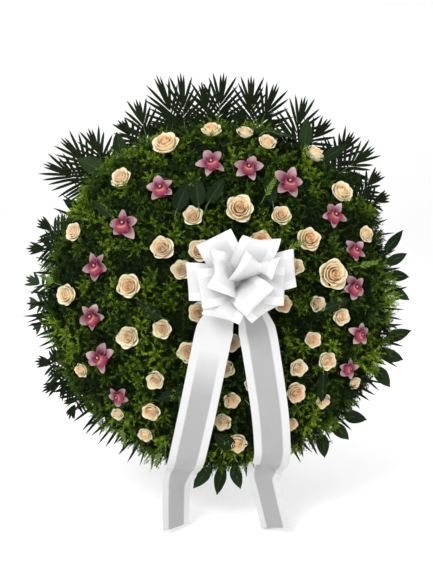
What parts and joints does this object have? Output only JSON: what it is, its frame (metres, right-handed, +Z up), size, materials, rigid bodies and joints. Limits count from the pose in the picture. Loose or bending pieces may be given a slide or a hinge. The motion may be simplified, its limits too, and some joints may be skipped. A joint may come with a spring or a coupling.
{
  "type": "funeral wreath",
  "caption": "Round domed wreath of fern, roses, orchids and palm fronds with a white ribbon bow and long tails, leaning on a low rod stand.",
  "frame": {"origin": "on the floor, under the middle of the whole part's box", "axes": "+Z up, -Y towards the viewer of the wreath's face, +X to the viewer's right"},
  "size_m": [1.1292, 0.7888, 1.3003],
  "materials": {
    "foam": "rough, porous",
    "fern": "fine and feathery, mid green",
    "rose": "soft petals, cream at the rim and peach at the heart",
    "orchid": "waxy petals, dusty pink with a dark magenta lip",
    "palm": "leathery, dark green",
    "leaf": "leathery, dark green with a low sheen",
    "satin": "satin, white, the tails with a light grey middle band",
    "stand_paint": "satin dark green paint",
    "rubber": "matt"
  },
  "bodies": {
    "root": {"foam_disc": "foam", "fern_mat": "fern", "roses_01": "rose", "roses_02": "rose", "roses_03": "rose", "roses_04": "rose", "roses_05": "rose", "roses_06": "rose", "roses_07": "rose", "roses_08": "rose", "roses_09": "rose", "roses_10": "rose", "roses_11": "rose", "roses_12": "rose", "roses_13": "rose", "roses_14": "rose", "roses_15": "rose", "roses_16": "rose", "orchid_01": "orchid", "orchid_02": "orchid", "orchid_03": "orchid", "orchid_04": "orchid", "orchid_05": "orchid", "orchid_06": "orchid", "orchid_07": "orchid", "orchid_08": "orchid", "orchid_09": "orchid", "orchid_10": "orchid", "orchid_11": "orchid", "orchid_12": "orchid", "orchid_13": "orchid", "orchid_14": "orchid", "palm_fronds_01": "palm", "palm_fronds_02": "palm", "palm_fronds_03": "palm", "palm_fronds_04": "palm", "palm_fronds_05": "palm", "palm_fronds_06": "palm", "palm_fronds_07": "palm", "palm_fronds_08": "palm", "palm_fronds_09": "palm", "palm_fronds_10": "palm", "leafy_spray_01": "leaf", "broad_leaves_01": "leaf", "broad_leaves_02": "leaf", "broad_leaves_03": "leaf", "broad_leaves_04": "leaf", "broad_leaves_05": "leaf", "broad_leaves_06": "leaf", "ribbon_bow": "satin", "ribbon_tail_left": "satin", "ribbon_tail_right": "satin", "stand_leg_left": "stand_paint", "stand_leg_right": "stand_paint", "stand_top_bar": "stand_paint", "stand_peg_bar": "stand_paint", "stand_rear_leg": "stand_paint", "stand_foot_left": "rubber", "stand_foot_right": "rubber", "stand_foot_rear": "rubber"}
  },
  "joints": []
}
